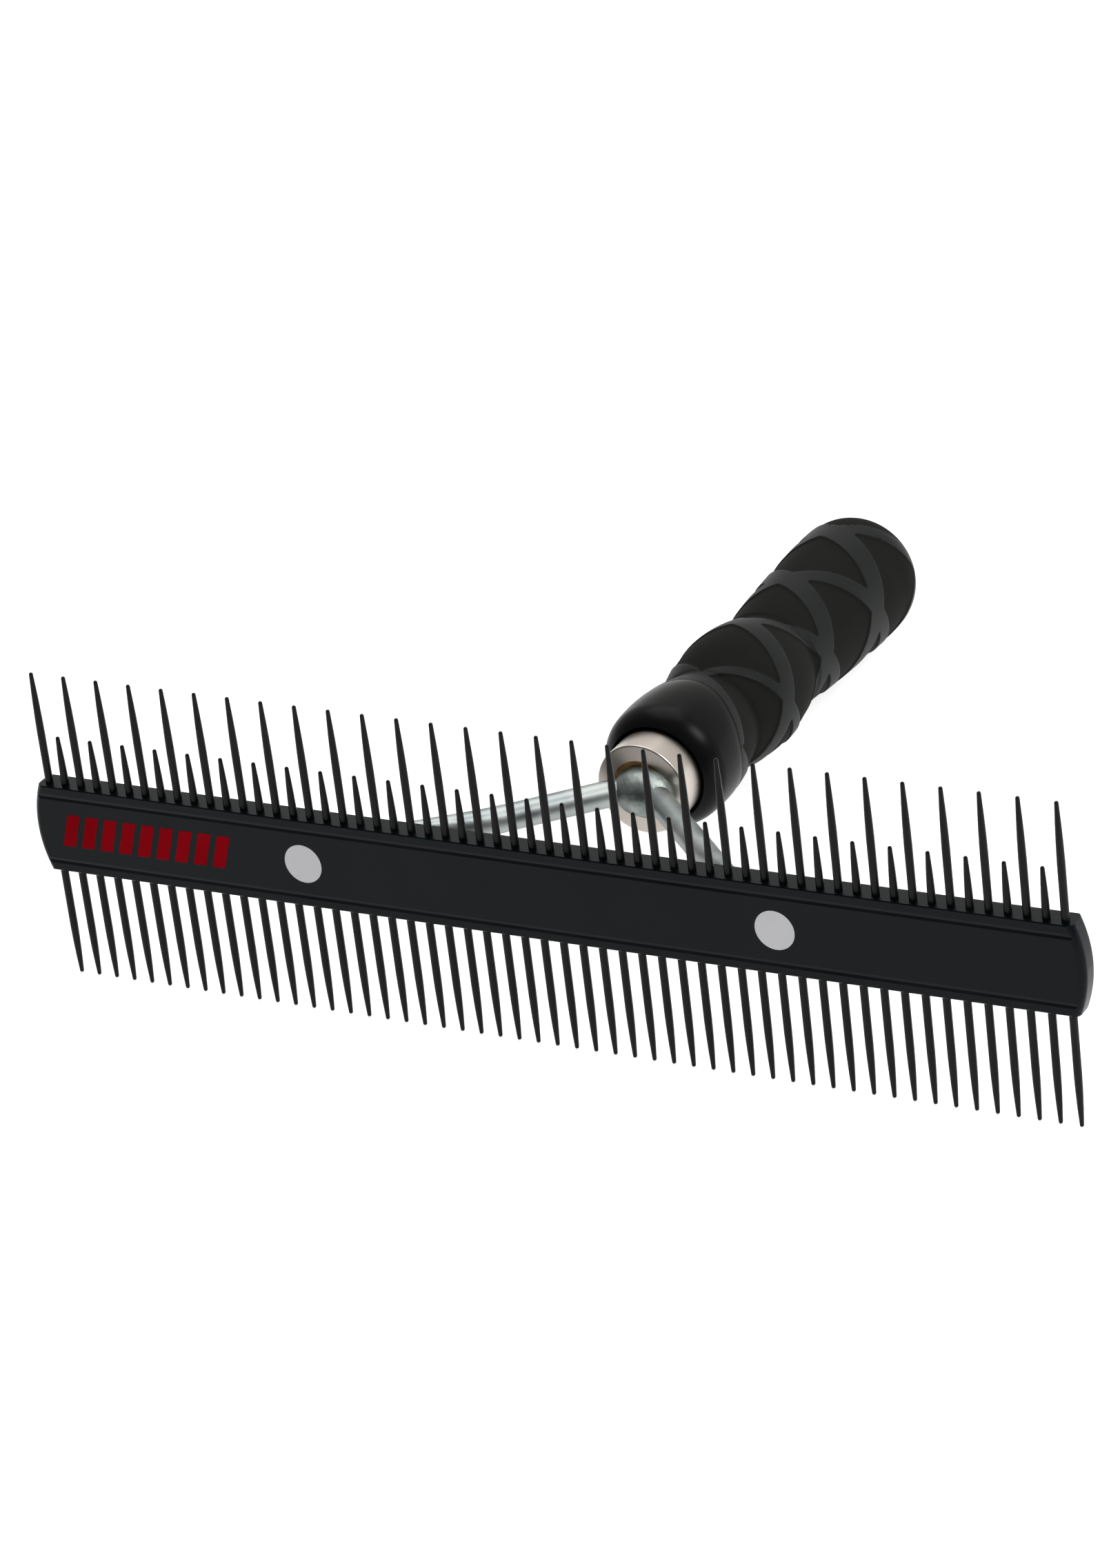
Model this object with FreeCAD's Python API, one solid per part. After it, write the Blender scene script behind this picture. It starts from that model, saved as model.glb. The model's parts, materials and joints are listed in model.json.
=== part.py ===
import FreeCAD, Part
import math
import os

# A double-sided pin comb for fluffing and raking out an animal's coat.
#
# A flat aluminium bar carries steel pins along both long edges: long and short ones by turns
# on the upper edge, and pins of one length on the lower edge. Two bent rods, riveted to the
# back of the bar and welded together where they meet, form a Y-shaped fork. Their tangs pass
# through a ferrule into the core of a handle that stands square to the bar, and a moulded
# rubber grip covers the core.
#
# Every piece is drawn in a design frame: X along the bar, Y from the bar's front face towards
# the handle's butt, Z up along the upper pins, origin in the middle of the bar's front face.
# The whole comb is then laid down as it lies on a table, on its lower pins and the underside
# of its grip, with the origin under the middle of its box. Lengths are in millimetres.

Vector = FreeCAD.Vector
ORIGIN = Vector(0, 0, 0)
X_AXIS = Vector(1, 0, 0)
Y_AXIS = Vector(0, 1, 0)
Z_AXIS = Vector(0, 0, 1)
FULL_TURN = 360

# Bar
BAR_LENGTH = 228.3             # over the crowns of the rounded ends
BAR_EDGE_LENGTH = 224.7        # along the upper and lower edges, between the end arcs
BAR_HEIGHT = 19.0
BAR_THICKNESS = 5.5
BAR_EDGE_CHAMFER = 0.2
BAR_END_ROUND = 1.5             # radius that softens the front and back edges of the ends
GROOVE_FROM_EDGE = 2.3
GROOVE_WIDTH = 1.2
GROOVE_DEPTH = 0.14

# Pins
PIN_DIAMETER = 1.6
PIN_TIP_RADIUS = 0.42
PIN_SPAN = 220.6               # from the first pin of a row to the last, the same on both edges
PIN_SEAT_DEPTH = 6.0
PIN_Y = 2.0                    # the rows stand nearer the bar's front than its back
UPPER_PIN_COUNT = 59           # long, short, long ... ending with a long one
LOWER_PIN_COUNT = 53
LONG_PIN_REACH = 24.5          # how far a pin stands out of the bar
SHORT_PIN_REACH = 10.7
UPPER_POINT_LENGTH = 13.0      # ground point of a long upper pin
LOWER_POINT_LENGTH = 11.0
SHORT_POINT_LENGTH = 10.2
POINT_BULGE_SHARE = 0.68       # of the pin's radius gained halfway along the ground point

# Rivets
RIVET_X = 51.4
RIVET_HEAD_DIAMETER = 8.6
RIVET_HEAD_THICKNESS = 1.4
RIVET_HEAD_CHAMFER = 0.15
RIVET_SHANK_DIAMETER = 4.8
RIVET_TAIL_DIAMETER = 7.8
RIVET_TAIL_HEIGHT = 1.6

# Fork
ROD_DIAMETER = 5.5
FORK_HALF_ANGLE = math.radians(46.0)
FORK_CROTCH_Y = 46.0           # where the legs' centre lines leave the tangs' lines
FORK_BEND_RADIUS = 6.0
TANG_END_Y = 112.0
FLATTEN_START_X = 21.0         # the rod is round up to here, then squeezed flat by degrees
EYE_THICKNESS = 3.0
EYE_WIDTH = 8.8
EYE_EDGE_FILLET = 0.5
FOOT_SPARE = 0.1               # the squeezed stretch is this much thinner than the eye all round
SQUEEZE_LIP = 0.04             # and it starts this much thicker than the round rod
ROD_INTO_SQUEEZE = 0.8         # length of the round rod's end inside the squeezed stretch
FOOT_BEND_RADIUS = 7.0         # of the bend that lays the foot along the bar's back
FOOT_SQUARENESS = 3.0          # superellipse power of the squeezed section, 2 would be an ellipse
SLOPE_STATIONS = 7             # sections drawn along the squeezed slope,
BEND_STATIONS = 5              # round the foot's bend
FOOT_STATIONS = 3              # and along the foot
SECTION_POINTS = 24

# Crotch weld, a lump that lies a little more on the right rod than on the left one
WELD_HALF_WIDTH = 6.6
WELD_HALF_HEIGHT = 5.2
WELD_LENGTH = 5.8
WELD_MIDDLE_X = 0.9

# Ferrule
FERRULE_FRONT_Y = 46.6
FERRULE_REAR_Y = 62.0
FERRULE_RADIUS = 9.7
FERRULE_WALL = 0.9
FERRULE_MOUTH_RADIUS = 6.3
FERRULE_EDGE_RADIUS = 0.3

# Handle core
CORE_RADIUS = FERRULE_RADIUS - FERRULE_WALL
CORE_REAR_Y = 149.0
TANG_SLOT_SPARE = 1.0          # depth of the slot past the tangs' ends

# Grip outline, as (Y, radius)
GRIP_LIP = (53.4, 10.5)
GRIP_LIP_ARC = (54.9, 12.1)
GRIP_FRONT_BULB_START = (58.0, 13.35)
GRIP_FRONT_BULB_ARC = (66.5, 13.4)
GRIP_FIRST_NECK = (77.0, 11.35)
GRIP_FIRST_NECK_ARC = (77.6, 11.4)
GRIP_SECOND_BULB_START = (78.2, 11.75)
GRIP_SECOND_BULB_ARC = (88.5, 13.85)
GRIP_SECOND_NECK = (104.9, 11.45)
GRIP_SECOND_NECK_ARC = (105.6, 11.5)
GRIP_FLARE_START = (106.4, 11.8)
GRIP_FLARE_ARC = (122.0, 12.98)
GRIP_FLARE_END = (141.0, 13.85)
GRIP_DOME_START_Y = 146.2
GRIP_DOME_LENGTH = 11.9
GRIP_DOME_POWER = 2.4          # power of the superellipse, 2 would be an ellipse
GRIP_DOME_POINTS = 10
GRIP_MOUTH_DEPTH = 1.6         # the lip's inner edge slopes down to the ferrule over this length

# Rest on a table
OUTLINE_SAMPLES = 40           # points per edge of the grip's outline, tried as the rest point

HALF_LENGTH = BAR_LENGTH / 2
HALF_HEIGHT = BAR_HEIGHT / 2
TANG_X = ROD_DIAMETER / 2
EYE_MID_Y = BAR_THICKNESS + EYE_THICKNESS / 2
RIVET_TAIL_Y = BAR_THICKNESS + EYE_THICKNESS
FOOT_TURN = math.pi / 2 - FORK_HALF_ANGLE
FOOT_BEND_TANGENT = FOOT_BEND_RADIUS * math.tan(FOOT_TURN / 2)
FOOT_CORNER_X = TANG_X + (FORK_CROTCH_Y - EYE_MID_Y) * math.tan(FORK_HALF_ANGLE)
FOOT_START_X = FOOT_CORNER_X + FOOT_BEND_TANGENT
LEG_SLOPE = Vector(math.sin(FORK_HALF_ANGLE), -math.cos(FORK_HALF_ANGLE), 0)


def closed_face(edges):
    """A flat face inside a closed run of edges."""
    return Part.Face(Part.Wire(edges))


def polygon_edges(points):
    """Straight edges joining the points in turn, left open at the end."""
    return [Part.makeLine(start, end) for start, end in zip(points, points[1:])]


def arc_edge(start, middle, end):
    return Part.Arc(start, middle, end).toShape()


def oval_quarter(centre, long_end, short_end):
    """A quarter of an ellipse round the centre, between the ends of its two half axes."""
    oval = Part.Ellipse(long_end, short_end, centre)
    return Part.ArcOfEllipse(oval, 0, math.pi / 2).toShape()


def bar_section():
    """The bar's cross-section in the YZ plane, with a shallow groove near each long edge."""
    chamfer = BAR_EDGE_CHAMFER
    groove_top = HALF_HEIGHT - GROOVE_FROM_EDGE + GROOVE_WIDTH / 2
    groove_bottom = groove_top - GROOVE_WIDTH
    groove_middle = groove_top - GROOVE_WIDTH / 2
    front_upper = [
        (0.0, groove_bottom),
        (GROOVE_DEPTH, groove_middle),
        (0.0, groove_top),
        (0.0, HALF_HEIGHT - chamfer),
        (chamfer, HALF_HEIGHT),
    ]
    back_upper = [(BAR_THICKNESS - y, z) for y, z in reversed(front_upper)]
    upper = front_upper + back_upper
    lower = [(y, -z) for y, z in reversed(upper)]
    outline = [Vector(0, y, z) for y, z in upper + lower]
    return Part.Face(Part.makePolygon(outline + [outline[0]]))


def bar_front_outline():
    """The bar seen from the front: straight long edges and a convex arc at each end."""
    corner_x = BAR_EDGE_LENGTH / 2
    top_left = Vector(-corner_x, 0, HALF_HEIGHT)
    top_right = Vector(corner_x, 0, HALF_HEIGHT)
    bottom_right = Vector(corner_x, 0, -HALF_HEIGHT)
    bottom_left = Vector(-corner_x, 0, -HALF_HEIGHT)
    return closed_face([
        Part.makeLine(top_left, top_right),
        arc_edge(top_right, Vector(HALF_LENGTH, 0, 0), bottom_right),
        Part.makeLine(bottom_right, bottom_left),
        arc_edge(bottom_left, Vector(-HALF_LENGTH, 0, 0), top_left),
    ])


def rounded_ends():
    """A plate with the bar's front outline, whose end arcs are softened front and back."""
    plate = bar_front_outline().extrude(Y_AXIS * BAR_THICKNESS)
    end_arcs = [edge for edge in plate.Edges if isinstance(edge.Curve, Part.Circle)]
    return plate.makeFillet(BAR_END_ROUND, end_arcs)


def make_bar(pins, rivets):
    """The bar, with its blind pin holes and stepped rivet holes."""
    section = bar_section()
    section.translate(Vector(-HALF_LENGTH, 0, 0))
    long_prism = section.extrude(X_AXIS * BAR_LENGTH)
    blank = long_prism.common(rounded_ends())
    return blank.cut(Part.makeCompound(pins + rivets)).Solids[0]


def make_pin(reach, point_length):
    """One pin standing up on the origin: its foot in the bar, its ground point above."""
    radius = PIN_DIAMETER / 2
    length = PIN_SEAT_DEPTH + reach
    point_z = length - point_length
    tip_z = length - PIN_TIP_RADIUS
    middle_radius = PIN_TIP_RADIUS + (radius - PIN_TIP_RADIUS) * POINT_BULGE_SHARE
    foot_axis = ORIGIN
    foot_edge = Vector(radius, 0, 0)
    point_edge = Vector(radius, 0, point_z)
    point_middle = Vector(middle_radius, 0, (point_z + tip_z) / 2)
    tip_edge = Vector(PIN_TIP_RADIUS, 0, tip_z)
    slant = PIN_TIP_RADIUS * math.sqrt(0.5)
    tip_middle = Vector(slant, 0, tip_z + slant)
    tip_axis = Vector(0, 0, length)
    half_section = closed_face([
        Part.makeLine(foot_axis, foot_edge),
        Part.makeLine(foot_edge, point_edge),
        arc_edge(point_edge, point_middle, tip_edge),
        arc_edge(tip_edge, tip_middle, tip_axis),
        Part.makeLine(tip_axis, foot_axis),
    ])
    return half_section.revolve(ORIGIN, Z_AXIS, FULL_TURN)


def place_pins(pin, positions, pointing_up):
    """Copies of one pin along an edge of the bar."""
    placed = []
    for x in positions:
        copy = pin.copy()
        if not pointing_up:
            copy.rotate(ORIGIN, X_AXIS, 180)
        foot_z = HALF_HEIGHT - PIN_SEAT_DEPTH
        copy.translate(Vector(x, PIN_Y, foot_z if pointing_up else -foot_z))
        placed.append(copy)
    return placed


def pin_positions(count):
    pitch = PIN_SPAN / (count - 1)
    return [index * pitch - PIN_SPAN / 2 for index in range(count)]


def make_rivet(side):
    """A rivet: flush head in the bar's front, shank, and a domed tail formed over the eye."""
    head = RIVET_HEAD_DIAMETER / 2
    shank = RIVET_SHANK_DIAMETER / 2
    tail = RIVET_TAIL_DIAMETER / 2
    chamfer = RIVET_HEAD_CHAMFER
    outline = [
        Vector(0, 0, 0),
        Vector(head - chamfer, 0, 0),
        Vector(head, chamfer, 0),
        Vector(head, RIVET_HEAD_THICKNESS, 0),
        Vector(shank, RIVET_HEAD_THICKNESS, 0),
        Vector(shank, RIVET_TAIL_Y, 0),
        Vector(tail, RIVET_TAIL_Y, 0),
    ]
    tail_top = Vector(0, RIVET_TAIL_Y + RIVET_TAIL_HEIGHT, 0)
    dome_radius = (tail ** 2 + RIVET_TAIL_HEIGHT ** 2) / (2 * RIVET_TAIL_HEIGHT)
    half_spread = math.asin(tail / dome_radius) / 2
    dome_middle = tail_top + Vector(math.sin(half_spread), math.cos(half_spread) - 1, 0) * dome_radius
    edges = polygon_edges(outline)
    edges.append(arc_edge(outline[-1], dome_middle, tail_top))
    edges.append(Part.makeLine(tail_top, outline[0]))
    rivet = closed_face(edges).revolve(ORIGIN, Y_AXIS, FULL_TURN)
    rivet.translate(Vector(side * RIVET_X, 0, 0))
    return rivet


def leg_point(x):
    """The point of the right leg's straight centre line at a distance from the middle."""
    return Vector(x, FORK_CROTCH_Y - (x - TANG_X) / math.tan(FORK_HALF_ANGLE), 0)


def rod_section(centre, direction, half_width, half_thickness, power):
    """A closed oval across the rod: half_width along Z, half_thickness in the fork's plane.

    Power 2 gives an ellipse, and a higher one flattens the broad faces.
    """
    across = Z_AXIS.cross(direction)
    points = []
    for index in range(SECTION_POINTS):
        angle = 2 * math.pi * index / SECTION_POINTS
        width_share = math.copysign(abs(math.cos(angle)) ** (2 / power), math.cos(angle))
        thickness_share = math.copysign(abs(math.sin(angle)) ** (2 / power), math.sin(angle))
        offset = Z_AXIS * (half_width * width_share) + across * (half_thickness * thickness_share)
        points.append(centre + offset)
    curve = Part.BSplineCurve()
    curve.interpolate(Points=points, PeriodicFlag=True)
    return Part.Wire(curve.toShape())


def round_rod():
    """The round stretch of the right leg: tang, bend and the first part of the slope."""
    radius = ROD_DIAMETER / 2
    tangent_length = FORK_BEND_RADIUS * math.tan(FORK_HALF_ANGLE / 2)
    tang_end = Vector(TANG_X, TANG_END_Y, 0)
    bend_start = Vector(TANG_X, FORK_CROTCH_Y + tangent_length, 0)
    bend_end = leg_point(TANG_X) + LEG_SLOPE * tangent_length
    bend_centre = bend_start + X_AXIS * FORK_BEND_RADIUS
    half_turn = FORK_HALF_ANGLE / 2
    bend_middle = bend_centre + Vector(-math.cos(half_turn), -math.sin(half_turn), 0) * FORK_BEND_RADIUS
    path = Part.Wire([
        Part.makeLine(tang_end, bend_start),
        arc_edge(bend_start, bend_middle, bend_end),
        Part.makeLine(bend_end, leg_point(FLATTEN_START_X) + LEG_SLOPE * ROD_INTO_SQUEEZE),
    ])
    circle = Part.Wire(Part.makeCircle(radius, tang_end, Y_AXIS))
    return path.makePipeShell([circle], True, True)


def squeezed_section(centre, direction, share):
    """The rod's section once it has been squeezed by a share: 0 is round, 1 is the foot."""
    radius = ROD_DIAMETER / 2 + SQUEEZE_LIP
    half_width = radius + (EYE_WIDTH / 2 - FOOT_SPARE - radius) * share
    half_thickness = radius + (EYE_THICKNESS / 2 - FOOT_SPARE - radius) * share
    power = 2 + (FOOT_SQUARENESS - 2) * share
    return rod_section(centre, direction, half_width, half_thickness, power)


def squeezed_rod():
    """The stretch that is squeezed flat by degrees and bent to lie along the bar's back."""
    bend_start_x = FOOT_CORNER_X - FOOT_BEND_TANGENT * LEG_SLOPE.x
    bend_centre = Vector(FOOT_START_X, EYE_MID_Y + FOOT_BEND_RADIUS, 0)
    sections = []
    for index in range(SLOPE_STATIONS):
        way = index / SLOPE_STATIONS
        x = FLATTEN_START_X + (bend_start_x - FLATTEN_START_X) * way
        share = way * way * (3 - 2 * way)
        sections.append(squeezed_section(leg_point(x), LEG_SLOPE, share))
    for index in range(BEND_STATIONS):
        turn = FOOT_TURN * (1 - index / (BEND_STATIONS - 1))
        outwards = Vector(-math.sin(turn), -math.cos(turn), 0)
        direction = Vector(math.cos(turn), -math.sin(turn), 0)
        sections.append(squeezed_section(bend_centre + outwards * FOOT_BEND_RADIUS, direction, 1.0))
    for index in range(FOOT_STATIONS):
        x = FOOT_START_X + (RIVET_X - FOOT_START_X) * (index + 1) / FOOT_STATIONS
        sections.append(squeezed_section(Vector(x, EYE_MID_Y, 0), X_AXIS, 1.0))
    return Part.makeLoft(sections, True, False)


def eye_disc():
    """The round end of the right leg's foot, without the rivet hole."""
    disc = Part.makeCylinder(EYE_WIDTH / 2, EYE_THICKNESS, Vector(RIVET_X, BAR_THICKNESS, 0), Y_AXIS)
    rims = [edge for edge in disc.Edges if isinstance(edge.Curve, Part.Circle)]
    return disc.makeFillet(EYE_EDGE_FILLET, rims)


def make_right_leg():
    leg = round_rod().fuse([squeezed_rod(), eye_disc()])
    shank = Part.makeCylinder(
        RIVET_SHANK_DIAMETER / 2, EYE_THICKNESS, Vector(RIVET_X, BAR_THICKNESS, 0), Y_AXIS)
    return leg.cut(shank).Solids[0]


def mirrored(shape):
    return shape.mirror(ORIGIN, X_AXIS)


def make_weld(legs):
    """The lump of weld round the two rods where they leave the ferrule and part."""
    root = Vector(0, FERRULE_FRONT_Y, 0)
    nose = root - Y_AXIS * WELD_LENGTH
    edge = root + X_AXIS * WELD_HALF_HEIGHT
    half_section = closed_face([
        Part.makeLine(nose, root),
        Part.makeLine(root, edge),
        oval_quarter(root, nose, edge),
    ])
    round_lump = half_section.revolve(ORIGIN, Y_AXIS, FULL_TURN)
    widen = FreeCAD.Matrix()
    widen.scale(WELD_HALF_WIDTH / WELD_HALF_HEIGHT, 1, 1)
    widen.move(X_AXIS * WELD_MIDDLE_X)
    lump = round_lump.transformGeometry(widen)
    pieces = lump.cut(legs).Solids
    return max(pieces, key=lambda solid: solid.Volume)


def make_braze(legs):
    """Braze filling the ferrule's mouth round the two tangs."""
    disc = Part.makeCylinder(
        FERRULE_MOUTH_RADIUS, FERRULE_WALL, Vector(0, FERRULE_FRONT_Y, 0), Y_AXIS)
    return disc.cut(legs)


def make_ferrule():
    """A pressed cup: a tube with a rounded front edge and a round mouth in its front."""
    edge = FERRULE_EDGE_RADIUS
    slant = edge * (1 - math.sqrt(0.5))
    front = FERRULE_FRONT_Y
    inner_front = front + FERRULE_WALL
    corner_start = Vector(FERRULE_RADIUS - edge, front, 0)
    corner_middle = Vector(FERRULE_RADIUS - slant, front + slant, 0)
    corner_end = Vector(FERRULE_RADIUS, front + edge, 0)
    outline = [
        corner_end,
        Vector(FERRULE_RADIUS, FERRULE_REAR_Y, 0),
        Vector(CORE_RADIUS, FERRULE_REAR_Y, 0),
        Vector(CORE_RADIUS, inner_front, 0),
        Vector(FERRULE_MOUTH_RADIUS, inner_front, 0),
        Vector(FERRULE_MOUTH_RADIUS, front, 0),
        corner_start,
    ]
    edges = polygon_edges(outline)
    edges.append(arc_edge(corner_start, corner_middle, corner_end))
    return closed_face(edges).revolve(ORIGIN, Y_AXIS, FULL_TURN)


def make_core(legs):
    """The handle's hard core, with a slot that takes both tangs side by side."""
    front = FERRULE_FRONT_Y + FERRULE_WALL
    body = Part.makeCylinder(CORE_RADIUS, CORE_REAR_Y - front, Vector(0, front, 0), Y_AXIS)
    slot_depth = TANG_END_Y + TANG_SLOT_SPARE - front
    radius = ROD_DIAMETER / 2
    middle = Part.makeBox(ROD_DIAMETER, slot_depth, ROD_DIAMETER, Vector(-radius, front, -radius))
    ends = [Part.makeCylinder(radius, slot_depth, Vector(x, front, 0), Y_AXIS)
            for x in (-TANG_X, TANG_X)]
    return body.cut([middle] + ends + legs)


def dome_edge():
    """The rounded butt: a quarter of a superellipse."""
    radius = GRIP_FLARE_END[1]
    points = []
    for index in range(GRIP_DOME_POINTS):
        angle = math.pi / 2 * index / (GRIP_DOME_POINTS - 1)
        along = math.sin(angle) ** (2 / GRIP_DOME_POWER)
        across = abs(math.cos(angle)) ** (2 / GRIP_DOME_POWER) if index < GRIP_DOME_POINTS - 1 else 0.0
        points.append(Vector(radius * across, GRIP_DOME_START_Y + GRIP_DOME_LENGTH * along, 0))
    curve = Part.BSplineCurve()
    curve.interpolate(Points=points, InitialTangent=Y_AXIS * 1.0, FinalTangent=X_AXIS * -1.0)
    return curve.toShape()


def grip_outline_edges():
    """The grip's outer half-outline, from its front lip to the middle of its butt."""
    def spot(station):
        return Vector(station[1], station[0], 0)

    bulges = [
        (GRIP_LIP, GRIP_LIP_ARC, GRIP_FRONT_BULB_START),
        (GRIP_FRONT_BULB_START, GRIP_FRONT_BULB_ARC, GRIP_FIRST_NECK),
        (GRIP_FIRST_NECK, GRIP_FIRST_NECK_ARC, GRIP_SECOND_BULB_START),
        (GRIP_SECOND_BULB_START, GRIP_SECOND_BULB_ARC, GRIP_SECOND_NECK),
        (GRIP_SECOND_NECK, GRIP_SECOND_NECK_ARC, GRIP_FLARE_START),
        (GRIP_FLARE_START, GRIP_FLARE_ARC, GRIP_FLARE_END),
    ]
    edges = [arc_edge(spot(start), spot(middle), spot(end)) for start, middle, end in bulges]
    dome_start = Vector(GRIP_FLARE_END[1], GRIP_DOME_START_Y, 0)
    edges.append(Part.makeLine(spot(GRIP_FLARE_END), dome_start))
    edges.append(dome_edge())
    return edges


def make_grip():
    """The rubber grip: a closed sleeve over the core and the rear of the ferrule."""
    lip = Vector(GRIP_LIP[1], GRIP_LIP[0], 0)
    butt = Vector(0, GRIP_DOME_START_Y + GRIP_DOME_LENGTH, 0)
    inner = polygon_edges([
        butt,
        Vector(0, CORE_REAR_Y, 0),
        Vector(CORE_RADIUS, CORE_REAR_Y, 0),
        Vector(CORE_RADIUS, FERRULE_REAR_Y, 0),
        Vector(FERRULE_RADIUS, FERRULE_REAR_Y, 0),
        Vector(FERRULE_RADIUS, GRIP_LIP[0] + GRIP_MOUTH_DEPTH, 0),
        lip,
    ])
    return closed_face(grip_outline_edges() + inner).revolve(ORIGIN, Y_AXIS, FULL_TURN)


def rest_tilt():
    """How far the comb tips, in degrees, for its grip to touch the table its pins stand on."""
    tip_drop = HALF_HEIGHT + LONG_PIN_REACH
    tangents = []
    for edge in grip_outline_edges():
        for point in edge.discretize(OUTLINE_SAMPLES):
            tangents.append((tip_drop - point.x) / (point.y - PIN_Y))
    return math.degrees(math.atan(min(tangents)))


def build_nodes():
    """Every piece in the design frame, by name."""
    upper = pin_positions(UPPER_PIN_COUNT)
    long_pin = make_pin(LONG_PIN_REACH, UPPER_POINT_LENGTH)
    short_pin = make_pin(SHORT_PIN_REACH, SHORT_POINT_LENGTH)
    lower_pin = make_pin(LONG_PIN_REACH, LOWER_POINT_LENGTH)
    upper_long = place_pins(long_pin, upper[0::2], True)
    upper_short = place_pins(short_pin, upper[1::2], True)
    lower = place_pins(lower_pin, pin_positions(LOWER_PIN_COUNT), False)
    left_rivet = make_rivet(-1)
    right_rivet = make_rivet(1)
    right_leg = make_right_leg()
    left_leg = mirrored(right_leg)
    legs = [left_leg, right_leg]
    return {
        "comb_bar": make_bar(upper_long + upper_short + lower, [left_rivet, right_rivet]),
        "upper_long_pins": Part.makeCompound(upper_long),
        "upper_short_pins": Part.makeCompound(upper_short),
        "lower_pins": Part.makeCompound(lower),
        "left_rivet": left_rivet,
        "right_rivet": right_rivet,
        "left_fork_leg": left_leg,
        "right_fork_leg": right_leg,
        "crotch_weld": make_weld(legs),
        "ferrule_braze": make_braze(legs),
        "ferrule": make_ferrule(),
        "handle_core": make_core(legs),
        "grip_sleeve": make_grip(),
    }


def lay_down(nodes):
    """Tip the comb onto its grip and set the origin under the middle of its box."""
    tilt = rest_tilt()
    for shape in nodes.values():
        shape.rotate(ORIGIN, X_AXIS, -tilt)
    box = Part.makeCompound(list(nodes.values())).optimalBoundingBox()
    shift = Vector(-box.Center.x, -box.Center.y, -box.ZMin)
    for shape in nodes.values():
        shape.translate(shift)
    return tilt, shift


def main():
    os.makedirs("parts", exist_ok=True)
    nodes = build_nodes()
    tilt, shift = lay_down(nodes)
    for name, shape in nodes.items():
        shape.exportStep("parts/" + name + ".step")
        box = shape.optimalBoundingBox()
        print(name, "solids", len(shape.Solids), "valid", shape.isValid(), "volume %.2f" % shape.Volume,
              "box %.2f %.2f %.2f" % (box.XLength, box.YLength, box.ZLength))
    print("tilt %.4f degrees, shift %.4f %.4f %.4f" % (tilt, shift.x, shift.y, shift.z))


main()
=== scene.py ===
"""Looks of the two-edged pin comb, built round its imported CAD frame.

The bar, pins, rivets, fork, weld, braze, ferrule and core stay as CAD made them, and get their
materials here. The rubber grip is replaced with a detailed piece, and a plain red motif is printed
on the bar.
Lengths are in millimetres in the design frame of the comb (X along the bar, Y from the bar's
front face to the butt, Z up along the upper pins), and to_row() turns them into metres in the
row frame, where the comb lies on a table.
"""

import json
import math

import bpy
from mathutils import Matrix, Vector


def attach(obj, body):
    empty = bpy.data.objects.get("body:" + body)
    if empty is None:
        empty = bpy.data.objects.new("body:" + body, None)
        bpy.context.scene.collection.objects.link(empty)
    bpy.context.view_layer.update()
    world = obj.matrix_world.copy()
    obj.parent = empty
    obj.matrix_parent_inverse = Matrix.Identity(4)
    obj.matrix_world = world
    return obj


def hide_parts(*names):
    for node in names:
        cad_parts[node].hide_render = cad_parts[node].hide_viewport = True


MM = 0.001
FULL_TURN = 2 * math.pi

# Camera, in the row frame; lens and sensor in millimetres, clip distances in metres
CAMERA_AT = (468.11, -783.88, 604.68)
CAMERA_AZIMUTH = 32.872
CAMERA_ELEVATION = 32.821
CAMERA_ROLL = -11.914
CAMERA_LENS = 122.138
CAMERA_SENSOR = 36.0
CAMERA_CLIP = (0.05, 20.0)

# Grip outline, as (Y, radius)
GRIP_RUNS = [
    ((53.4, 10.5), (54.9, 12.1), (58.0, 13.35)),
    ((58.0, 13.35), (66.5, 13.4), (77.0, 11.35)),
    ((77.0, 11.35), (77.6, 11.4), (78.2, 11.75)),
    ((78.2, 11.75), (88.5, 13.85), (104.9, 11.45)),
    ((104.9, 11.45), (105.6, 11.5), (106.4, 11.8)),
    ((106.4, 11.8), (122.0, 12.98), (141.0, 13.85)),
]
DOME_START = (146.2, 13.85)
DOME_LENGTH = 11.9
DOME_POWER = 2.6               # over 2 for a squarer butt than an ellipse
DOME_ARC = 0.9 * (DOME_LENGTH + DOME_START[1])
LIP_END = 58.0                 # rows up to here keep their Y
GRIP_CORE_RADIUS = 8.8
GRIP_CORE_END = 149.0
FERRULE_RADIUS = 9.7
FERRULE_END = 62.0
GRIP_MOUTH = 55.0
GRIP_COLUMNS = 288
GRIP_ROW_STEP = 0.36
GRIP_SHARP_ANGLE = 38.0        # degrees between faces, from which their edge is sharp

# Raised bands: two families of crossing helices, their half widths as (Y, width)
BAND_PITCH = 22.3              # along Y, between neighbouring bands of a family
BAND_RISE = 22.3 / 180         # along Y, for each degree round the handle
BAND_CROSSING_ANGLE = 98.0     # degrees from +X towards +Z, where bands cross
BAND_CROSSING_Y = 76.1         # the first crossing there
BAND_LAST_Y = 143.0            # the last crossing there
BANDS_EACH_WAY = 8             # counted from the first crossing, more than the grip has room for
RISING_HALF_WIDTH = [(72.0, 2.0), (90.0, 2.5), (112.0, 2.7), (140.0, 3.0)]
FALLING_HALF_WIDTH = [(76.0, 0.9), (86.0, 1.3), (97.0, 2.0), (140.0, 2.1)]
BAND_WALL = 0.5
FIELD_DEPTH = 0.3
BUTT_FADE_START = 146.0        # the fields' depth runs out from here on
BUTT_FADE_RATE = 1.6           # over 1: it is gone before the end of the butt
Y_TOLERANCE = 0.01
SHARE_TOLERANCE = 0.02
COLLAR_MEAN_Y = 68.4           # where the smooth collar ends and the bands begin
COLLAR_SWING = 3.1
COLLAR_PEAK_ANGLE = 88.0
COLLAR_DIP = 0.12
COLLAR_DIP_LENGTH = 2.5
COLLAR_DIP_WALL = 0.25
ON_COLLAR = -1.0               # stands for a share of a field's depth on the collar
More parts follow.
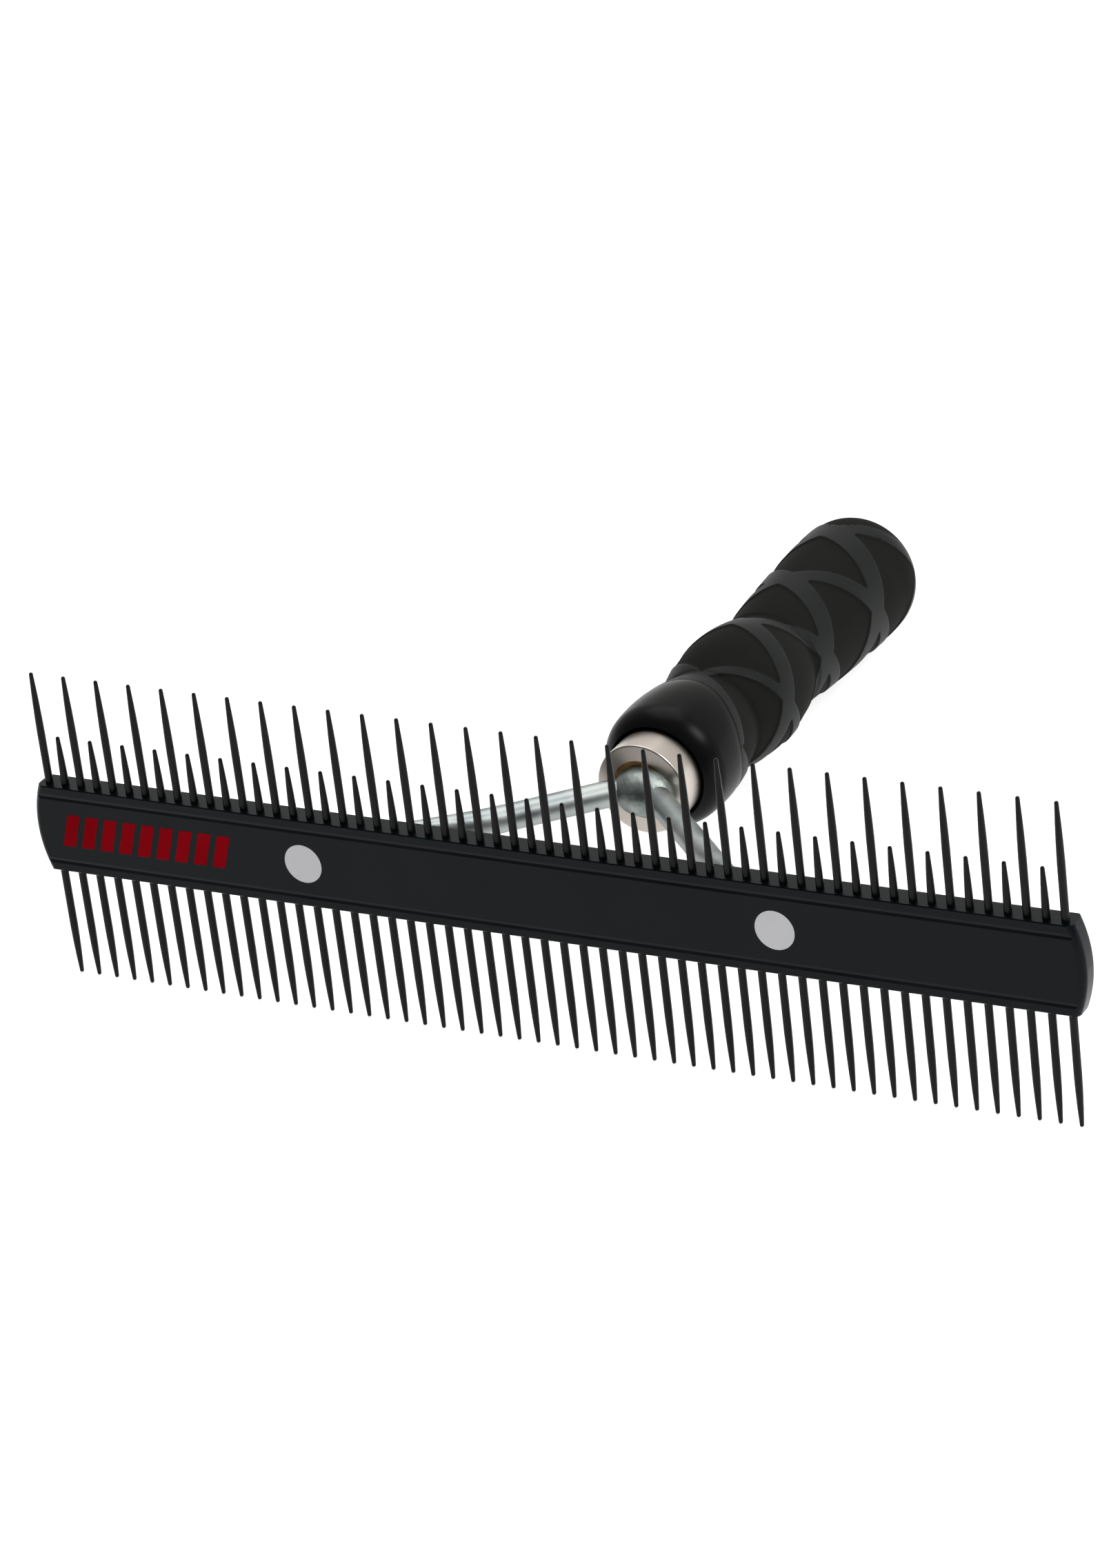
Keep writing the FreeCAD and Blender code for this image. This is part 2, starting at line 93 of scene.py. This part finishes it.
BAND_LOOK, FIELD_LOOK, COLLAR_LOOK = 0, 1, 2

# Printed motif, on the bar's front to the left of the rivet
STROKE_COUNT = 9
STROKE_THICKNESS = 0.03
STROKE_SLANT = 2.2
STROKE_SHARE = 0.66            # a stroke's width over the distance between strokes
MOTIF_LEFT, MOTIF_RIGHT = -108.0, -66.2
MOTIF_LOW, MOTIF_HIGH = -3.5, 3.7

# Noise values: nearly all lie in the wide range, and colours change over the narrow one
NOISE_LOW, NOISE_HIGH = 0.3, 0.7
PATCH_DARK, PATCH_LIGHT = 0.35, 0.65

# Studio, in metres in the row frame; softboxes as (name, place, side, power in watts)
FLOOR_HALF_SIZE = 12.0
FLOOR_COLOUR = (0.5, 0.5, 0.5, 1)
FLOOR_GLOW = 0.8
SOFTBOXES = [
    ("key", (1.05, 0.13, 1.1), 0.6, 14.0),
    ("top", (-0.3, 0.5, 1.3), 1.2, 10.0),
]
SOFTBOX_TARGET = (0, 0, 0.03)
WALL_STOPS = [
    (0.0, (0.11, 0.11, 0.115)),
    (0.45, (0.20, 0.20, 0.205)),
    (0.85, (0.85, 0.84, 0.82)),
]

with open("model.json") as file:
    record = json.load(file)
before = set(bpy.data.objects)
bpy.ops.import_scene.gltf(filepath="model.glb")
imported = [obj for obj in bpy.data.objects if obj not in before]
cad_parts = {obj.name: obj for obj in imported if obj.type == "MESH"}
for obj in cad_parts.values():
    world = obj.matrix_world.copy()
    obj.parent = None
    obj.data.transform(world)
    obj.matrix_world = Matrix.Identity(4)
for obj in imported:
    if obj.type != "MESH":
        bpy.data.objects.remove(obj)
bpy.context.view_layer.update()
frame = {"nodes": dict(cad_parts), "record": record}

front_face = next(m for m in frame["record"]["mounts"] if m["name"] == "front_face")
face_normal = Vector(front_face["axis"])
REST_TILT = math.atan2(face_normal.z, -face_normal.y)
DESIGN_TO_ROW = (Matrix.Translation(Vector(front_face["pos_m"]))
                 @ Matrix.Rotation(-REST_TILT, 4, "X"))


def to_row(x, y, z):
    return DESIGN_TO_ROW @ (Vector((x, y, z)) * MM)


# Materials


def new_material(name):
    material = bpy.data.materials.new(name)
    material.use_nodes = True
    return material, material.node_tree.nodes, material.node_tree.links


def principled(nodes):
    return nodes["Principled BSDF"]


def node(nodes, kind, **values):
    """A new node with its inputs set by name."""
    made = nodes.new(kind)
    for name, value in values.items():
        made.inputs[name.replace("_", " ")].default_value = value
    return made


def object_coords(nodes, links, scale):
    """Object coordinates, stretched by a scale along each axis."""
    coords = nodes.new("ShaderNodeTexCoord")
    mapping = nodes.new("ShaderNodeMapping")
    mapping.inputs["Scale"].default_value = scale
    links.new(coords.outputs["Object"], mapping.inputs["Vector"])
    return mapping.outputs["Vector"]


def noise_field(nodes, links, vector, scale, detail):
    field = node(nodes, "ShaderNodeTexNoise", Scale=scale, Detail=detail)
    links.new(vector, field.inputs["Vector"])
    return field.outputs["Fac"]


def ramp(nodes, links, source, stops):
    """A colour ramp through (position, colour) stops."""
    made = nodes.new("ShaderNodeValToRGB")
    elements = made.color_ramp.elements
    while len(elements) < len(stops):
        elements.new(0.5)
    for element, (position, colour) in zip(elements, stops):
        element.position = position
        element.color = (*colour, 1.0)
    links.new(source, made.inputs["Fac"])
    return made.outputs["Color"]


def spread(nodes, links, source, low, high):
    """A noise value, mapped to a range of numbers."""
    made = nodes.new("ShaderNodeMapRange")
    made.inputs["From Min"].default_value = NOISE_LOW
    made.inputs["From Max"].default_value = NOISE_HIGH
    made.inputs["To Min"].default_value = low
    made.inputs["To Max"].default_value = high
    links.new(source, made.inputs["Value"])
    return made.outputs["Result"]


def add_bump(nodes, links, height, strength, distance_mm):
    bump = node(nodes, "ShaderNodeBump", Strength=strength, Distance=distance_mm * MM)
    links.new(height, bump.inputs["Height"])
    links.new(bump.outputs["Normal"], principled(nodes).inputs["Normal"])


def grained_material(name, dark, light, roughness, metallic=0.0, specular=0.5, grain=900.0,
                     stretch=(1, 1, 1), bump=0.1, bump_mm=0.05, patches=60.0, edge_tint=1.0):
    """A surface with slow patches of colour and roughness and a fine grain in its normals."""
    material, nodes, links = new_material(name)
    shader = principled(nodes)
    shader.inputs["Metallic"].default_value = metallic
    shader.inputs["Specular IOR Level"].default_value = specular
    shader.inputs["Specular Tint"].default_value = (edge_tint, edge_tint, edge_tint, 1)
    vector = object_coords(nodes, links, stretch)
    slow = noise_field(nodes, links, vector, patches, 3.0)
    fine = noise_field(nodes, links, vector, grain, 2.0)
    colour = ramp(nodes, links, slow, [(PATCH_DARK, dark), (PATCH_LIGHT, light)])
    links.new(colour, shader.inputs["Base Color"])
    links.new(spread(nodes, links, slow, *roughness), shader.inputs["Roughness"])
    add_bump(nodes, links, fine, bump, bump_mm)
    return material


def make_materials():
    return {
        "anodised": grained_material(
            "anodised_black", (0.0006, 0.0021, 0.0032), (0.0018, 0.0036, 0.0050), (0.24, 0.32),
            specular=0.11, grain=2600.0, bump=0.15, bump_mm=0.02),
        "pin": grained_material(
            "pin_black", (0.0045, 0.0048, 0.0052), (0.0075, 0.0078, 0.0082), (0.30, 0.42),
            specular=0.14, grain=1500.0, stretch=(1, 1, 0.15), bump=0.2, bump_mm=0.02),
        "rivet": grained_material(
            "rivet_steel", (0.40, 0.40, 0.41), (0.48, 0.48, 0.49), (0.40, 0.52),
            metallic=1.0, grain=1800.0, bump=0.15, bump_mm=0.02),
        "zinc": grained_material(
            "zinc_plate", (0.30, 0.335, 0.335), (0.42, 0.445, 0.43), (0.38, 0.48),
            metallic=1.0, grain=700.0, bump=0.20, bump_mm=0.05, patches=180.0, edge_tint=0.60),
        "weld": grained_material(
            "weld_zinc", (0.19, 0.215, 0.20), (0.37, 0.40, 0.385), (0.42, 0.55),
            metallic=1.0, grain=380.0, bump=0.8, bump_mm=0.35, patches=260.0, edge_tint=0.45),
        "nickel": grained_material(
            "nickel_plate", (0.52, 0.47, 0.42), (0.59, 0.54, 0.49), (0.28, 0.33),
            metallic=1.0, grain=500.0, bump=0.02, bump_mm=0.002, patches=90.0),
        "braze": grained_material(
            "braze", (0.20, 0.10, 0.03), (0.42, 0.26, 0.10), (0.35, 0.55),
            metallic=1.0, grain=600.0, bump=0.5, bump_mm=0.15, patches=300.0),
        "core": grained_material(
            "core_plastic", (0.07, 0.07, 0.07), (0.09, 0.09, 0.09), (0.5, 0.6)),
        "band": grained_material(
            "rubber_band", (0.0062, 0.0070, 0.0072), (0.0084, 0.0092, 0.0094), (0.46, 0.56),
            specular=0.12, grain=1400.0, bump=0.12, bump_mm=0.04),
        "field": grained_material(
            "rubber_field", (0.0062, 0.0062, 0.0056), (0.0094, 0.0094, 0.0084), (0.78, 0.90),
            specular=0.08, grain=2200.0, bump=0.45, bump_mm=0.06),
        "collar": grained_material(
            "rubber_collar", (0.0030, 0.0033, 0.0032), (0.0044, 0.0047, 0.0045), (0.27, 0.33),
            specular=0.07, grain=1100.0, bump=0.10, bump_mm=0.03),
        "print": grained_material(
            "red_print", (0.245, 0.0024, 0.0060), (0.285, 0.0034, 0.0080), (0.60, 0.70),
            specular=0.0, grain=1800.0, bump=0.15, bump_mm=0.02),
    }


CAD_MATERIALS = {
    "comb_bar": "anodised",
    "upper_long_pins": "pin",
    "upper_short_pins": "pin",
    "lower_pins": "pin",
    "left_rivet": "rivet",
    "right_rivet": "rivet",
    "left_fork_leg": "zinc",
    "right_fork_leg": "zinc",
    "crotch_weld": "weld",
    "ferrule_braze": "braze",
    "ferrule": "nickel",
    "handle_core": "core",
}


def paint_cad_nodes(materials):
    for name, look in CAD_MATERIALS.items():
        slots = frame["nodes"][name].data.materials
        slots.clear()
        slots.append(materials[look])


def add_piece(name, vertices, faces, looks, face_looks=None):
    """A mesh piece that rides on the comb, in the row frame."""
    mesh = bpy.data.meshes.new(name)
    mesh.from_pydata([tuple(v) for v in vertices], [], faces)
    for look in looks:
        mesh.materials.append(look)
    if face_looks:
        mesh.polygons.foreach_set("material_index", face_looks)
    piece = bpy.data.objects.new(name, mesh)
    bpy.context.scene.collection.objects.link(piece)
    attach(piece, "root")
    return piece


# Grip


def arc_through(start, middle, end, step):
    """Points along the circular arc through three (Y, radius) points, without its end."""
    (ax, ay), (bx, by), (cx, cy) = start, middle, end
    span = 2 * (ax * (by - cy) + bx * (cy - ay) + cx * (ay - by))
    a2, b2, c2 = ax * ax + ay * ay, bx * bx + by * by, cx * cx + cy * cy
    centre_x = (a2 * (by - cy) + b2 * (cy - ay) + c2 * (ay - by)) / span
    centre_y = (a2 * (cx - bx) + b2 * (ax - cx) + c2 * (bx - ax)) / span
    radius = math.hypot(ax - centre_x, ay - centre_y)
    first = math.atan2(ay - centre_y, ax - centre_x)
    last = math.atan2(cy - centre_y, cx - centre_x)
    turn = (last - first + math.pi) % FULL_TURN - math.pi
    count = max(2, round(abs(turn) * radius / step))
    return [(centre_x + radius * math.cos(first + turn * index / count),
             centre_y + radius * math.sin(first + turn * index / count)) for index in range(count)]


def grip_outline():
    """The grip's outer outline from lip to butt as (Y, radius), without the butt's middle."""
    points = []
    for start, middle, end in GRIP_RUNS:
        points += arc_through(start, middle, end, GRIP_ROW_STEP)
    straight_start = GRIP_RUNS[-1][-1]
    count = round((DOME_START[0] - straight_start[0]) / GRIP_ROW_STEP)
    for index in range(count):
        points.append((straight_start[0] + (DOME_START[0] - straight_start[0]) * index / count,
                       straight_start[1]))
    count = round(DOME_ARC / GRIP_ROW_STEP)
    for index in range(count):
        angle = math.pi / 2 * index / count
        along = math.sin(angle) ** (2 / DOME_POWER)
        across = math.cos(angle) ** (2 / DOME_POWER)
        points.append((DOME_START[0] + DOME_LENGTH * along, DOME_START[1] * across))
    return points


def interpolate(table, x):
    """The value at x in a table of (x, value), with the ends' values beyond its ends."""
    if x <= table[0][0]:
        return table[0][1]
    for (x0, y0), (x1, y1) in zip(table, table[1:]):
        if x <= x1:
            return y0 + (y1 - y0) * (x - x0) / (x1 - x0)
    return table[-1][1]


def folded_angle(angle):
    """Degrees from the nearest of the two crossing lines of the bands, 0 to 90."""
    return abs((angle - BAND_CROSSING_ANGLE + 90) % 180 - 90)


def collar_edge(angle):
    """Y of the wavy edge between the smooth collar and the bands."""
    swing = math.cos(2 * math.radians(angle - COLLAR_PEAK_ANGLE))
    return COLLAR_MEAN_Y + COLLAR_SWING * swing


def band_spans(angle):
    """The [start, end] in Y of each band that a line along the grip crosses, in order.

    Bands that nearly touch are one, and the first starts at the collar's edge.
    """
    turned = BAND_RISE * (angle - BAND_CROSSING_ANGLE)
    first_zigzag = BAND_CROSSING_Y - BAND_RISE * folded_angle(angle)
    last_zigzag = BAND_LAST_Y + BAND_RISE * folded_angle(angle)
    spans = []
    for direction, half_widths in ((1, RISING_HALF_WIDTH), (-1, FALLING_HALF_WIDTH)):
        for index in range(-BANDS_EACH_WAY, BANDS_EACH_WAY + 1):
            middle = BAND_CROSSING_Y + direction * turned + BAND_PITCH * index
            if first_zigzag - Y_TOLERANCE <= middle <= last_zigzag + Y_TOLERANCE:
                half = interpolate(half_widths, middle)
                spans.append((middle - half, middle + half))
    spans.sort()
    joined = []
    for start, end in spans:
        if joined and start < joined[-1][1] + 2 * BAND_WALL:
            joined[-1][1] = max(joined[-1][1], end)
        else:
            joined.append([start, end])
    joined[0][0] = collar_edge(angle)
    return joined


def butt_fade(y):
    """How much of the fields' depth is left at Y: it runs out on the rounded butt."""
    way = (y - BUTT_FADE_START) / (DOME_START[0] + DOME_LENGTH - BUTT_FADE_START)
    return 1 - min(max(way * BUTT_FADE_RATE, 0.0), 1.0)


def wall_share(y, spans):
    """0 on a band, 1 in a field, and between the two on a band's side wall."""
    nearest = min(max(start - y, y - end) for start, end in spans)
    return min(max(nearest / BAND_WALL, 0.0), 1.0)


def snapped_rows(rows, spans):
    """The rows' Y values with the nearest ones moved onto the bands' edges and walls."""
    marks = []
    for start, end in spans:
        marks += [start - BAND_WALL, start, end, end + BAND_WALL]
    snapped = list(rows)
    taken = set()
    for mark in marks[1:]:  # the first band has no wall towards the collar
        nearest = min(range(len(rows)), key=lambda index: abs(rows[index] - mark))
        if nearest in taken or abs(rows[nearest] - mark) > GRIP_ROW_STEP:
            continue
        taken.add(nearest)
        snapped[nearest] = mark
    return snapped


def outward(outline, index):
    """The outline's outward direction at a row, as its parts along Y and along the radius."""
    before = outline[max(index - 1, 0)]
    after = outline[min(index + 1, len(outline) - 1)]
    along = Vector((after[0] - before[0], after[1] - before[1])).normalized()
    return -along.y, along.x


def depth_and_share(y, spans):
    """How deep a spot lies under the outline, and how far down a field's wall it is."""
    before_bands = spans[0][0] - y
    if before_bands > 0:
        away = min(before_bands / COLLAR_DIP_LENGTH, 1.0)
        down_wall = min(before_bands / COLLAR_DIP_WALL, 1.0)
        return COLLAR_DIP * (1 - away) ** 2 * down_wall, ON_COLLAR
    share = wall_share(y, spans)
    return FIELD_DEPTH * share * butt_fade(y), share


def outer_column(angle, outline, barrel_first, dome_first):
    """The grip's outside at an angle, as (Y, radius, share) from lip to butt."""
    heights = [y for y, _ in outline]
    spans = band_spans(angle)
    rows = snapped_rows(heights[barrel_first:dome_first], spans)
    spots = []
    for index, y in enumerate(heights[:barrel_first] + rows + heights[dome_first:]):
        on_barrel = barrel_first <= index < dome_first
        radius = interpolate(outline, y) if on_barrel else outline[index][1]
        out_y, out_r = outward(outline, index)
        depth, share = depth_and_share(y, spans)
        spots.append((y - out_y * depth, radius - out_r * depth, share))
    return spots


def split_quad(quad, shares):
    """The quad itself, or two triangles where a band's edge runs from corner to corner."""
    a, b, c, d = quad
    on_edge = [abs(shares[corner]) < SHARE_TOLERANCE for corner in quad]
    sunk = [shares[corner] > SHARE_TOLERANCE for corner in quad]
    if on_edge[0] and on_edge[2] and sunk[1] != sunk[3]:
        return [(a, b, c), (a, c, d)]
    if on_edge[1] and on_edge[3] and sunk[0] != sunk[2]:
        return [(a, b, d), (b, c, d)]
    return [quad]


def grip_faces(shares, row_count):
    """Faces between neighbouring columns, and fans that close the grip inside and at the butt."""
    inner_tip = GRIP_COLUMNS * row_count
    butt_tip = inner_tip + 1
    faces = []
    for column in range(GRIP_COLUMNS):
        here = column * row_count
        there = (column + 1) % GRIP_COLUMNS * row_count
        for row in range(row_count - 1):
            quad = (here + row, here + row + 1, there + row + 1, there + row)
            faces += split_quad(quad, shares)
        faces.append((here, there, inner_tip))
        faces.append((here + row_count - 1, butt_tip, there + row_count - 1))
    return faces


def look_of(face, shares):
    values = [shares[corner] for corner in face if corner < len(shares)]
    if min(values) < 0:
        return COLLAR_LOOK
    return FIELD_LOOK if max(values) > SHARE_TOLERANCE else BAND_LOOK


def make_grip(materials):
    """The rubber grip: smooth collar, raised crossing bands and sunk rough fields."""
    outline = grip_outline()
    barrel_first = next(index for index, (y, _) in enumerate(outline) if y > LIP_END)
    dome_first = next(index for index, (y, _) in enumerate(outline) if y >= DOME_START[0])
    inside = [(GRIP_CORE_END, GRIP_CORE_RADIUS, 0.0), (FERRULE_END, GRIP_CORE_RADIUS, 0.0),
              (FERRULE_END, FERRULE_RADIUS, 0.0), (GRIP_MOUTH, FERRULE_RADIUS, 0.0)]
    vertices = []
    shares = []
    for column in range(GRIP_COLUMNS):
        angle = 360.0 * column / GRIP_COLUMNS
        across = math.cos(math.radians(angle)), math.sin(math.radians(angle))
        for y, radius, share in inside + outer_column(angle, outline, barrel_first, dome_first):
            vertices.append(to_row(radius * across[0], y, radius * across[1]))
            shares.append(share)
    vertices.append(to_row(0, GRIP_CORE_END, 0))
    vertices.append(to_row(0, DOME_START[0] + DOME_LENGTH, 0))
    faces = grip_faces(shares, len(inside) + len(outline))
    grip = add_piece("rubber_grip", vertices, faces,
                     [materials["band"], materials["field"], materials["collar"]],
                     [look_of(face, shares) for face in faces])
    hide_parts("grip_sleeve")
    grip.data.shade_smooth()
    grip.data.set_sharp_from_angle(angle=math.radians(GRIP_SHARP_ANGLE))


# Printed motif


def make_motif(materials):
    """A row of slanted strokes, a plain pattern."""
    pitch = (MOTIF_RIGHT - MOTIF_LEFT - STROKE_SLANT) / STROKE_COUNT
    width = pitch * STROKE_SHARE
    vertices, faces = [], []
    for index in range(STROKE_COUNT):
        x = MOTIF_LEFT + pitch * index
        corners = [(x, MOTIF_LOW), (x + width, MOTIF_LOW),
                   (x + width + STROKE_SLANT, MOTIF_HIGH), (x + STROKE_SLANT, MOTIF_HIGH)]
        base = len(vertices)
        for y in (-STROKE_THICKNESS, 0.0):
            vertices += [to_row(corner_x, y, corner_z) for corner_x, corner_z in corners]
        faces.append([base + k for k in (0, 1, 2, 3)])
        faces.append([base + k for k in (7, 6, 5, 4)])
        for k in range(4):
            after = (k + 1) % 4
            faces.append([base + after, base + k, base + k + 4, base + after + 4])
    add_piece("red_motif", vertices, faces, [materials["print"]])


# Studio


def make_floor():
    """A wide pale floor that glows a little, so that it stays white under the comb."""
    size = FLOOR_HALF_SIZE
    mesh = bpy.data.meshes.new("studio_floor")
    mesh.from_pydata([(-size, -size, 0), (size, -size, 0), (size, size, 0), (-size, size, 0)],
                     [], [(0, 1, 2, 3)])
    material, nodes, _ = new_material("pale_floor")
    shader = principled(nodes)
    shader.inputs["Base Color"].default_value = FLOOR_COLOUR
    shader.inputs["Roughness"].default_value = 0.9
    shader.inputs["Specular IOR Level"].default_value = 0.0
    shader.inputs["Emission Color"].default_value = (1, 1, 1, 1)
    shader.inputs["Emission Strength"].default_value = FLOOR_GLOW
    mesh.materials.append(material)
    floor = bpy.data.objects.new("studio_floor", mesh)
    bpy.context.scene.collection.objects.link(floor)


def add_softbox(name, position, size, power):
    light = bpy.data.lights.new(name, "AREA")
    light.shape = "RECTANGLE"
    light.size = light.size_y = size
    light.energy = power
    lamp = bpy.data.objects.new(name, light)
    lamp.visible_camera = False
    lamp.location = position
    aim = Vector(SOFTBOX_TARGET) - Vector(position)
    lamp.rotation_euler = aim.to_track_quat("-Z", "Y").to_euler()
    bpy.context.scene.collection.objects.link(lamp)


def make_world():
    """Grey studio walls, lighter behind the comb than in front of it."""
    world = bpy.data.worlds.new("studio")
    world.use_nodes = True
    nodes, links = world.node_tree.nodes, world.node_tree.links
    coords = nodes.new("ShaderNodeTexCoord")
    parts = nodes.new("ShaderNodeSeparateXYZ")
    links.new(coords.outputs["Generated"], parts.inputs["Vector"])
    across = nodes.new("ShaderNodeMapRange")
    across.inputs["From Min"].default_value = -1.0
    across.inputs["From Max"].default_value = 1.0
    links.new(parts.outputs["Y"], across.inputs["Value"])
    colour = ramp(nodes, links, across.outputs["Result"], WALL_STOPS)
    links.new(colour, nodes["Background"].inputs["Color"])
    nodes["Background"].inputs["Strength"].default_value = 1.0
    bpy.context.scene.world = world


def make_camera():
    data = bpy.data.cameras.new("camera")
    data.lens = CAMERA_LENS
    data.sensor_width = CAMERA_SENSOR
    data.clip_start, data.clip_end = CAMERA_CLIP
    camera = bpy.data.objects.new("camera", data)
    azimuth, elevation = math.radians(CAMERA_AZIMUTH), math.radians(CAMERA_ELEVATION)
    back = Vector((math.sin(azimuth) * math.cos(elevation),
                   -math.cos(azimuth) * math.cos(elevation),
                   math.sin(elevation)))
    turn = (-back).to_track_quat("-Z", "Y").to_matrix().to_4x4()
    roll = Matrix.Rotation(math.radians(CAMERA_ROLL), 4, "Z")
    camera.matrix_world = Matrix.Translation(Vector(CAMERA_AT) * MM) @ turn @ roll
    bpy.context.scene.collection.objects.link(camera)
    bpy.context.scene.camera = camera


materials = make_materials()
paint_cad_nodes(materials)
make_grip(materials)
make_motif(materials)
make_floor()
make_world()
for softbox in SOFTBOXES:
    add_softbox(*softbox)
make_camera()
bpy.context.scene.view_settings.view_transform = "Standard"
bpy.context.scene.view_settings.look = "None"
